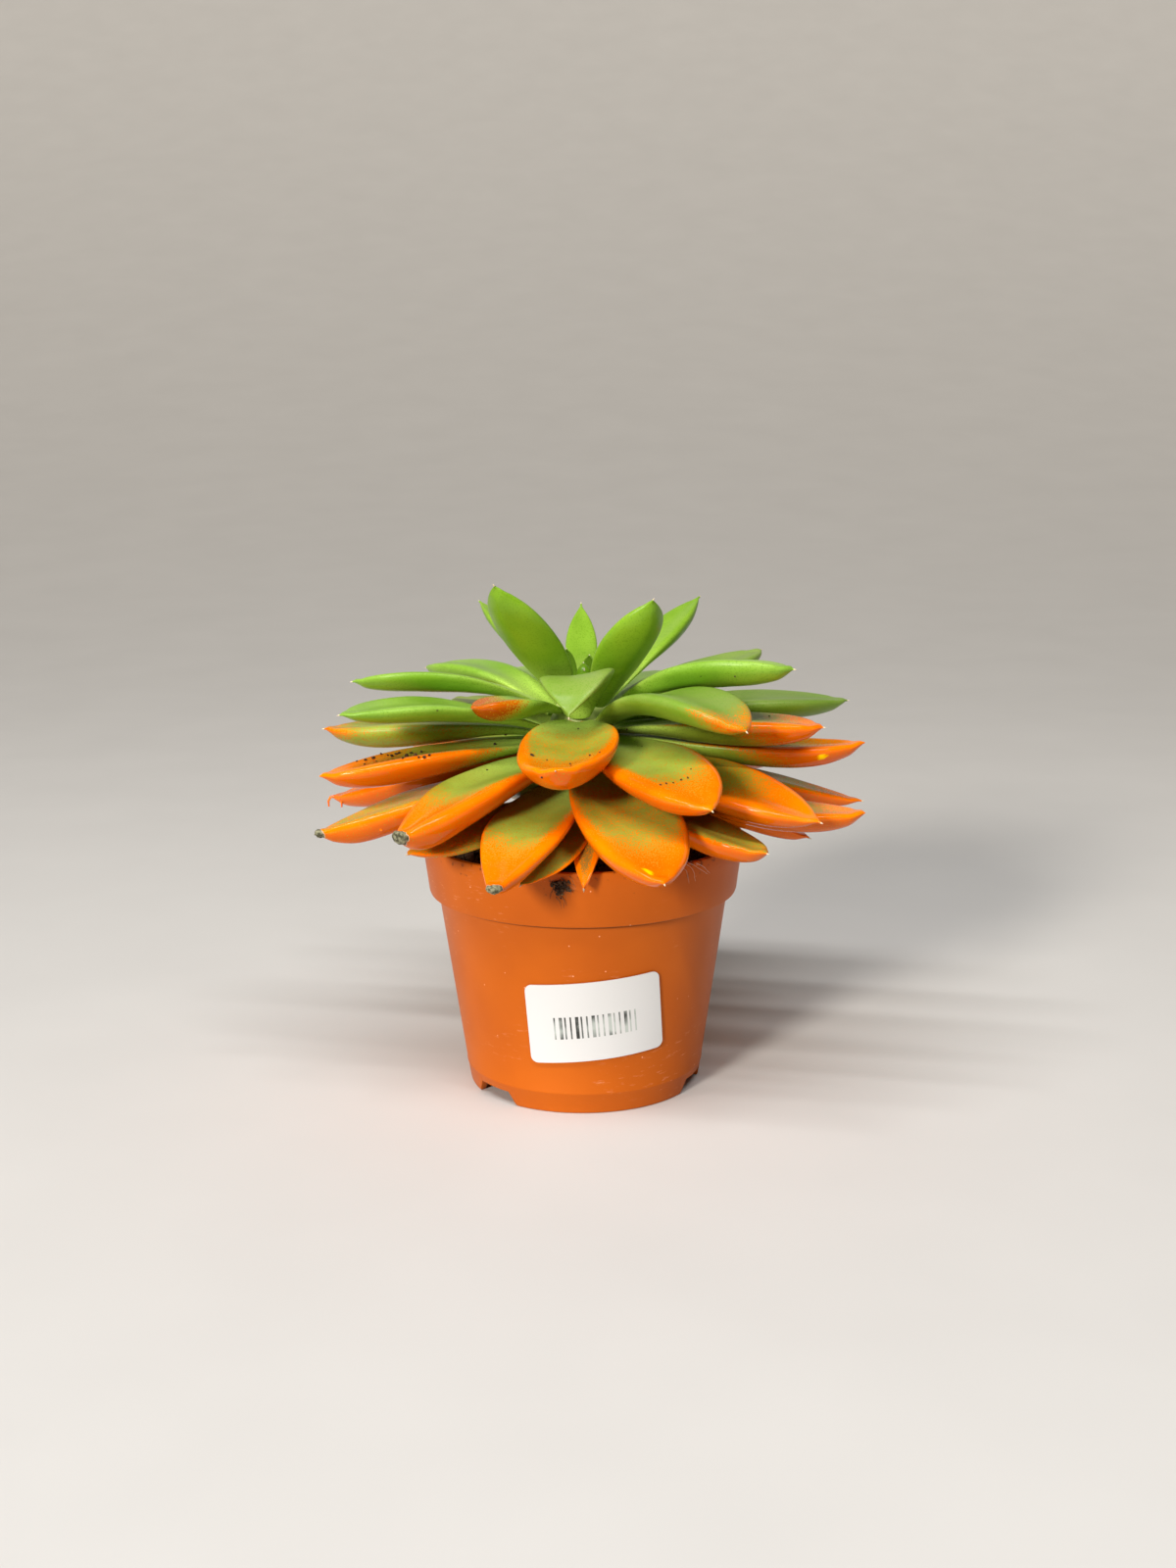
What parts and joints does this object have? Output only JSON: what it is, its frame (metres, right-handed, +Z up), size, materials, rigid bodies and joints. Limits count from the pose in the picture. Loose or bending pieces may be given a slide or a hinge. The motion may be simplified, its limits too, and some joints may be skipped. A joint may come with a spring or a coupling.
{
  "type": "potted echeveria",
  "caption": "Succulent rosette of thick pointed leaves, green above and orange-painted below, rooted in a small tapered nursery pot with a paper label.",
  "frame": {"origin": "centre of the pot's foot, on the surface the pot stands on", "axes": "+Z is up along the pot's axis, -Y is the front with the paper label, +X is to the right seen from the front"},
  "size_m": [0.1529, 0.1541, 0.1441],
  "materials": {
    "pot": "satin moulded plastic, terracotta orange",
    "label": "coated white paper",
    "peat": "rough moist peat",
    "stem": "dull green-brown bark",
    "green_leaf": "waxy leaf skin, light green",
    "painted_leaf": "glossy orange spray paint over green leaf skin",
    "dried_leaf": "dry curled leaf with orange paint"
  },
  "bodies": {
    "root": {"pot": "pot", "label": "label", "peat": "peat", "stem": "stem", "crown_leaf_1": "green_leaf", "crown_leaf_2": "green_leaf", "crown_leaf_3": "green_leaf", "folded_leaf": "green_leaf", "crown_leaf_4": "green_leaf", "crown_leaf_5": "green_leaf", "upper_leaf_1": "green_leaf", "upper_leaf_2": "green_leaf", "upper_leaf_3": "green_leaf", "upper_leaf_4": "green_leaf", "upper_leaf_5": "green_leaf", "upper_leaf_6": "green_leaf", "upper_leaf_7": "green_leaf", "upper_leaf_8": "green_leaf", "upper_leaf_9": "green_leaf", "upper_leaf_10": "green_leaf", "upper_leaf_11": "green_leaf", "upper_leaf_12": "green_leaf", "middle_leaf_1": "painted_leaf", "middle_leaf_2": "painted_leaf", "middle_leaf_3": "painted_leaf", "middle_leaf_4": "painted_leaf", "middle_leaf_5": "painted_leaf", "middle_leaf_6": "painted_leaf", "middle_leaf_7": "painted_leaf", "middle_leaf_8": "painted_leaf", "middle_leaf_9": "painted_leaf", "middle_leaf_10": "painted_leaf", "middle_leaf_11": "painted_leaf", "middle_leaf_12": "painted_leaf", "middle_leaf_13": "painted_leaf", "middle_leaf_14": "painted_leaf", "middle_leaf_15": "painted_leaf", "middle_leaf_16": "painted_leaf", "lower_leaf_1": "painted_leaf", "lower_leaf_2": "painted_leaf", "lower_leaf_3": "painted_leaf", "lower_leaf_4": "painted_leaf", "lower_leaf_5": "painted_leaf", "lower_leaf_6": "painted_leaf", "lower_leaf_7": "painted_leaf", "lower_leaf_8": "painted_leaf", "lower_leaf_9": "painted_leaf", "lower_leaf_10": "painted_leaf", "lower_leaf_11": "painted_leaf", "lower_leaf_12": "painted_leaf", "lower_leaf_13": "painted_leaf", "lower_leaf_14": "painted_leaf", "lower_leaf_15": "painted_leaf", "lower_leaf_16": "painted_leaf", "dried_leaf": "dried_leaf", "bud_leaf_1": "green_leaf", "bud_leaf_2": "green_leaf", "bud_leaf_3": "green_leaf"}
  },
  "joints": []
}
